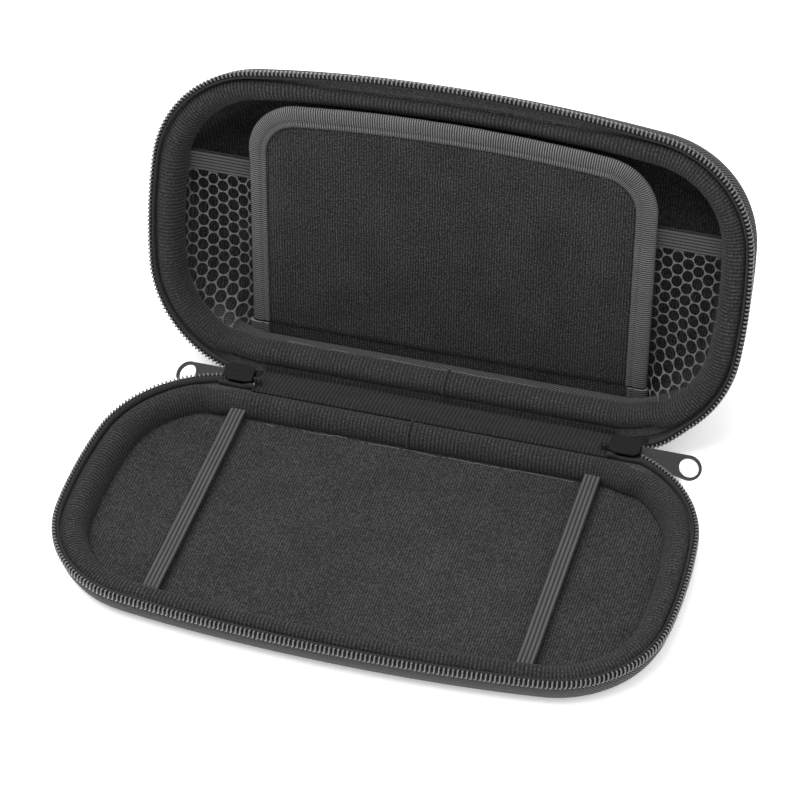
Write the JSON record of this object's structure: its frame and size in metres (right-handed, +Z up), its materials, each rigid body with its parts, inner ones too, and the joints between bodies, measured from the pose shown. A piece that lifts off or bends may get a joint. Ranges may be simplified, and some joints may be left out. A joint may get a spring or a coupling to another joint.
{
  "type": "handheld console travel case",
  "caption": "Zip-round moulded travel case for a handheld game console, open: padded tray with elastic straps, and a lid with a mesh pocket behind a bound flap.",
  "frame": {"origin": "on the table under the middle of the base tray's flat underside", "axes": "+X to the right along the hinge, +Y from the front to the hinge, +Z up"},
  "size_m": [0.24, 0.2072, 0.1304],
  "materials": {
    "shell_cloth": "fine twill on moulded foam",
    "lining_knit": "brushed knit",
    "roll_knit": "ribbed knit over padding",
    "zip_tape": "woven tape",
    "zip_coil": "extruded coil",
    "elastic": "ribbed woven elastic",
    "net": "knitted net",
    "binding": "ribbed woven tape",
    "slider_metal": "dark satin paint"
  },
  "bodies": {
    "base": {"base_shell": "shell_cloth", "base_lining": "lining_knit", "base_roll": "roll_knit", "base_zip_tape": "zip_tape", "base_zip_teeth": "zip_coil", "left_strap": "elastic", "right_strap": "elastic", "hinge_band": "roll_knit", "hinge_cover": "shell_cloth"},
    "lid": {"lid_shell": "shell_cloth", "lid_lining": "lining_knit", "lid_roll": "roll_knit", "lid_zip_tape": "zip_tape", "lid_zip_teeth": "zip_coil", "mesh_panel": "net", "mesh_band": "elastic", "flap_pad": "lining_knit", "flap_binding": "binding", "flap_strip": "lining_knit"},
    "left_slider": {"left_slider": "slider_metal"},
    "right_slider": {"right_slider": "slider_metal"},
    "left_pull": {"left_pull": "slider_metal"},
    "right_pull": {"right_pull": "slider_metal"}
  },
  "joints": [
    {"name": "lid_hinge", "type": "hinge", "parent": "base", "child": "lid", "pos_m": [0, 0.0658, 0.008], "axis": [-1, 0, 0], "range_deg": [-109.03, 20], "deforming": ["hinge_band", "hinge_cover"]},
    {"name": "left_slider_turn", "type": "hinge", "parent": "base", "child": "left_slider", "pos_m": [-0.075, 0.06499, 0.0145], "axis": [-1, 0, 0], "range_deg": [-55.01, 10.5]},
    {"name": "right_slider_turn", "type": "hinge", "parent": "base", "child": "right_slider", "pos_m": [0.081, 0.06402, 0.0145], "axis": [-1, 0, 0], "range_deg": [-55.01, 10.5]},
    {"name": "left_pull_swing", "type": "hinge", "parent": "left_slider", "child": "left_pull", "pos_m": [-0.075, 0.06623, 0.01177], "axis": [0, -0.9094, -0.416], "range_deg": [-2, 30]},
    {"name": "right_pull_swing", "type": "hinge", "parent": "right_slider", "child": "right_pull", "pos_m": [0.081, 0.06527, 0.01177], "axis": [0, 0.9094, 0.416], "range_deg": [-2, 30]}
  ],
  "couplings": [
    {"joint": "left_slider_turn", "follows": "lid_hinge", "ratio": 0.5},
    {"joint": "right_slider_turn", "follows": "lid_hinge", "ratio": 0.5}
  ]
}
